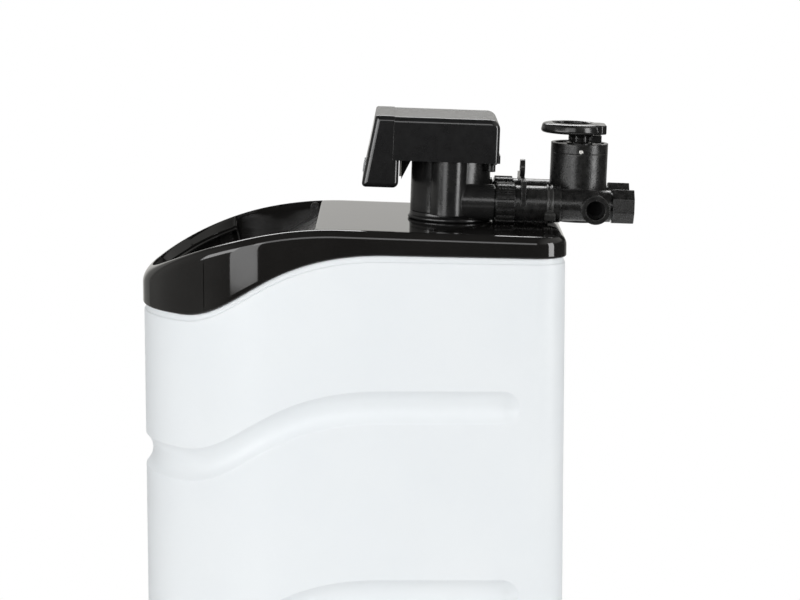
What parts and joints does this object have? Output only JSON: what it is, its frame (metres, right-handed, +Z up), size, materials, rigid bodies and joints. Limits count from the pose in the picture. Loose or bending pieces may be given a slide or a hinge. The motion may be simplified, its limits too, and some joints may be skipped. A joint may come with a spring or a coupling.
{
  "type": "water softener",
  "caption": "Cabinet water softener with a white grooved cabinet, black cover, sunken salt lid, valve head and bypass valve.",
  "frame": {"origin": "middle of the cabinet's base, on the floor", "axes": "+Z up, -Y to the front with the salt lid and display, +Y to the back with the pipes, X across"},
  "size_m": [0.32, 0.607, 1.0742],
  "materials": {
    "shell_white": "smooth moulded, low gloss",
    "gloss_black": "high gloss",
    "satin_black": "fine satin texture",
    "nylon_black": "matte, slightly mottled glass-filled nylon",
    "steel": "bright",
    "pale_plastic": "satin",
    "natural_plastic": "satin",
    "tank_blue": "wound fibre under a clear resin",
    "resin_beads": "fine amber beads",
    "board_green": "solder mask",
    "smoke_window": "smoked clear plastic",
    "seal_rubber": "matte",
    "key_grey": "satin"
  },
  "bodies": {
    "softener": {"cabinet": "shell_white", "top_cover": "gloss_black", "hinge_pins": "steel", "salt_grid": "natural_plastic", "brine_well": "natural_plastic", "brine_valve": "natural_plastic", "brine_pickup": "natural_plastic", "air_check": "pale_plastic", "brine_tube": "natural_plastic", "overflow_elbow": "nylon_black", "overflow_nut": "nylon_black", "resin_tank": "tank_blue", "tank_boot": "satin_black", "resin_bed": "resin_beads", "riser_tube": "natural_plastic", "bottom_distributor": "natural_plastic", "top_distributor": "natural_plastic", "neck_seal": "seal_rubber", "deck_ring": "satin_black", "valve_body": "satin_black", "seal_stack": "pale_plastic", "end_plug": "pale_plastic", "backplate": "satin_black", "head_screws": "steel", "motor": "steel", "rear_cover": "satin_black", "front_panel": "satin_black", "display_window": "smoke_window", "circuit_board": "board_green", "injector": "pale_plastic", "injector_cap": "satin_black", "drain_barb": "nylon_black", "brine_elbow": "nylon_black", "meter_cage": "pale_plastic", "meter_plug": "pale_plastic", "cable_gland": "nylon_black", "union_nuts": "nylon_black", "port_seals": "seal_rubber", "port_clip": "nylon_black", "cable_tie": "nylon_black", "bypass_body": "nylon_black", "bypass_cap": "nylon_black", "cap_pins": "steel", "end_nuts": "nylon_black"},
    "salt_lid": {"salt_lid": "gloss_black"},
    "bypass_knob": {"bypass_knob": "gloss_black", "bypass_rotor": "pale_plastic"},
    "key_up": {"key_up": "key_grey"},
    "key_down": {"key_down": "key_grey"},
    "key_set": {"key_set": "key_grey"},
    "key_clean": {"key_clean": "key_grey"},
    "drive_gear": {"drive_gear": "natural_plastic"},
    "motor_pinion": {"motor_pinion": "steel"},
    "piston": {"piston": "natural_plastic", "piston_rod": "steel"},
    "float": {"float": "pale_plastic", "float_rod": "steel"},
    "brine_well_cap": {"brine_well_cap": "natural_plastic"},
    "meter_turbine": {"meter_turbine": "natural_plastic"}
  },
  "joints": [
    {"name": "salt_lid_hinge", "type": "hinge", "parent": "softener", "child": "salt_lid", "pos_m": [0, -0.05, 0.93763], "axis": [-1, 0, 0], "range_deg": [0, 100]},
    {"name": "bypass_turn", "type": "hinge", "parent": "softener", "child": "bypass_knob", "pos_m": [0, 0.28239, 1.03442], "axis": [0, 0.0349, 0.9994], "range_deg": [0, 90]},
    {"name": "key_up_press", "type": "slide", "parent": "softener", "child": "key_up", "axis": [0, 0.9793, -0.2023], "range_m": [0, 0.0015], "stiffness_N_per_m": 300},
    {"name": "key_down_press", "type": "slide", "parent": "softener", "child": "key_down", "axis": [0, 0.9793, -0.2023], "range_m": [0, 0.0015], "stiffness_N_per_m": 300},
    {"name": "key_set_press", "type": "slide", "parent": "softener", "child": "key_set", "axis": [0, 0.9793, -0.2023], "range_m": [0, 0.0015], "stiffness_N_per_m": 300},
    {"name": "key_clean_press", "type": "slide", "parent": "softener", "child": "key_clean", "axis": [0, 0.9793, -0.2023], "range_m": [0, 0.0015], "stiffness_N_per_m": 300},
    {"name": "drive_turn", "type": "hinge", "parent": "softener", "child": "drive_gear", "pos_m": [0, 0.12421, 1.03194], "axis": [0, 0.0349, 0.9994], "range_deg": [0, 1080]},
    {"name": "pinion_turn", "type": "hinge", "parent": "softener", "child": "motor_pinion", "pos_m": [-0.02443, 0.1533, 1.03093], "axis": [0, 0.0349, 0.9994], "range_deg": [-4051, 0]},
    {"name": "piston_lift", "type": "slide", "parent": "softener", "child": "piston", "axis": [0, 0.0349, 0.9994], "range_m": [0, 0.018]},
    {"name": "float_rise", "type": "slide", "parent": "softener", "child": "float", "axis": [0, 0, 1], "range_m": [0, 0.015]},
    {"name": "well_cap_lift", "type": "slide", "parent": "softener", "child": "brine_well_cap", "axis": [0, 0, 1], "range_m": [0, 0.04]},
    {"name": "meter_spin", "type": "hinge", "parent": "softener", "child": "meter_turbine", "pos_m": [-0.04, 0.14991, 0.96551], "axis": [0, 0.9994, -0.0349], "continuous": true}
  ],
  "couplings": [
    {"joint": "pinion_turn", "follows": "drive_turn", "ratio": -3.75},
    {"joint": "piston_lift", "follows": "drive_turn", "m_per_rad": 0.00095492}
  ]
}
